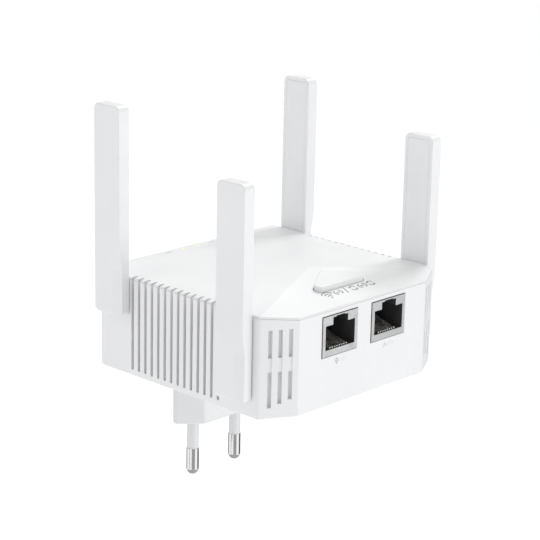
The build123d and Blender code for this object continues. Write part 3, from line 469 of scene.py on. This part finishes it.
def floor_plane():
    """A wide plain white floor, well below the part so that no shadow reaches it."""
    mesh = bpy.data.meshes.new("floor")
    grid = bmesh.new()
    bmesh.ops.create_grid(grid, x_segments=8, y_segments=8, size=12.0)
    grid.to_mesh(mesh)
    grid.free()
    plane = bpy.data.objects.new("floor", mesh)
    plane.location = (0, 0, (PIN_TIP_Z - FLOOR_DROP) * MM)
    bpy.context.collection.objects.link(plane)
    mat, tree, shader = new_material("floor_paper")
    place = object_coordinates(tree)
    fibre = noise(tree, place, 6.0, detail=4.0)
    tree.links.new(blend_colours(tree, fibre, (0.30, 0.30, 0.30), (0.33, 0.33, 0.33)),
                   shader.inputs["Base Color"])
    shader.inputs["Roughness"].default_value = 0.9
    shader.inputs["Specular IOR Level"].default_value = 0.0
    shader.inputs["Emission Color"].default_value = (1, 1, 1, 1)
    shader.inputs["Emission Strength"].default_value = FLOOR_GLOW
    mesh.materials.append(mat)


def soft_light(name, azimuth, elevation, distance, size, power):
    """A large square area light; azimuth 0 is the socket side, 90 the right-hand side."""
    lamp = bpy.data.lights.new(name, "AREA")
    lamp.shape = "SQUARE"
    lamp.size = size
    lamp.energy = power
    turn = math.radians(azimuth)
    rise = math.radians(elevation)
    away = Vector((math.sin(turn) * math.cos(rise), -math.cos(turn) * math.cos(rise),
                   math.sin(rise)))
    holder = bpy.data.objects.new(name, lamp)
    holder.location = BODY_MIDDLE + away * distance
    holder.rotation_mode = "QUATERNION"
    holder.rotation_quaternion = (-away).to_track_quat("-Z", "Y")
    bpy.context.collection.objects.link(holder)


CARD_DISTANCE = 500.0
CARD_TOP_Z = 20.0
CARD_LIFT = 5.0
CARD_STEPS = 12
DISC_LIFT = 8.0


def reflection_only(card):
    """Hide a card from everything but the shiny surfaces that mirror it."""
    bpy.context.collection.objects.link(card)
    card.visible_camera = False
    card.visible_diffuse = False
    card.visible_transmission = False
    card.visible_shadow = False


def curved_card(name, start, end, shade):
    """A curved grey card around the part, from one azimuth to another, in degrees."""
    mesh = bmesh.new()
    low = PIN_TIP_Z - FLOOR_DROP + CARD_LIFT
    columns = []
    for step in range(CARD_STEPS + 1):
        turn = math.radians(start + (end - start) * step / CARD_STEPS)
        x = CARD_DISTANCE * math.sin(turn)
        y = -CARD_DISTANCE * math.cos(turn)
        columns.append([mesh.verts.new(Vector((x, y, z)) * MM) for z in (low, CARD_TOP_Z)])
    for near, far in zip(columns, columns[1:]):
        mesh.faces.new((near[0], far[0], far[1], near[1]))
    data = bpy.data.meshes.new(name)
    mesh.to_mesh(data)
    mesh.free()
    data.materials.append(dark_plastic(name + "_paper", (shade, shade, shade), 0.8))
    reflection_only(bpy.data.objects.new(name, data))


def round_card(name, radius, shade):
    """A grey disc just above the floor, for the pins' rounded tips to mirror."""
    mesh = bmesh.new()
    bmesh.ops.create_circle(mesh, cap_ends=True, segments=48, radius=radius * MM)
    data = bpy.data.meshes.new(name)
    mesh.to_mesh(data)
    mesh.free()
    data.materials.append(dark_plastic(name + "_paper", (shade, shade, shade), 0.8))
    card = bpy.data.objects.new(name, data)
    card.location = (0, 0, (PIN_TIP_Z - FLOOR_DROP + DISC_LIFT) * MM)
    reflection_only(card)


curved_card("card_behind", 50.0, 195.0, 0.09)
curved_card("card_front", -62.0, -2.0, 0.26)
curved_card("card_left", -112.0, -103.0, 0.18)
round_card("card_under", 420.0, 0.34)
floor_plane()
soft_light("key_light", 100.0, 50.0, 1.2, 0.26, 4.4)
soft_light("back_light", 130.0, 45.0, 1.2, 0.30, 1.6)
soft_light("front_fill", 30.0, -3.0, 1.2, 0.40, 2.7)
soft_light("left_fill", -120.0, 40.0, 1.2, 0.50, 0.9)

world = bpy.data.worlds.new("studio")
world.use_nodes = True
world.node_tree.nodes["Background"].inputs["Color"].default_value = (1.0, 1.0, 1.0, 1.0)
world.node_tree.nodes["Background"].inputs["Strength"].default_value = 0.69
bpy.context.scene.world = world
bpy.context.scene.view_settings.view_transform = "Standard"

CAMERA_PLACE = (-408.363, -409.202, 214.833)
CAMERA_AZIMUTH = math.radians(-46.628)
CAMERA_ELEVATION = math.radians(16.133)
CAMERA_ROLL = math.radians(1.236)
LENS = 126.98


def main_camera():
    """A long lens looking down on the socket side's left corner."""
    data = bpy.data.cameras.new("camera")
    data.lens = LENS
    data.sensor_width = 36.0
    holder = bpy.data.objects.new("camera", data)
    back = Vector((math.sin(CAMERA_AZIMUTH) * math.cos(CAMERA_ELEVATION),
                   -math.cos(CAMERA_AZIMUTH) * math.cos(CAMERA_ELEVATION),
                   math.sin(CAMERA_ELEVATION)))
    level_right = (-back).cross(Vector((0, 0, 1))).normalized()
    level_up = back.cross(level_right)
    right = math.cos(CAMERA_ROLL) * level_right + math.sin(CAMERA_ROLL) * level_up
    up = math.cos(CAMERA_ROLL) * level_up - math.sin(CAMERA_ROLL) * level_right
    holder.matrix_world = Matrix((
        (right.x, up.x, back.x, CAMERA_PLACE[0] * MM),
        (right.y, up.y, back.y, CAMERA_PLACE[1] * MM),
        (right.z, up.z, back.z, CAMERA_PLACE[2] * MM),
        (0, 0, 0, 1)))
    data.clip_start = 0.01
    data.clip_end = 20.0
    bpy.context.collection.objects.link(holder)
    bpy.context.scene.camera = holder


main_camera()
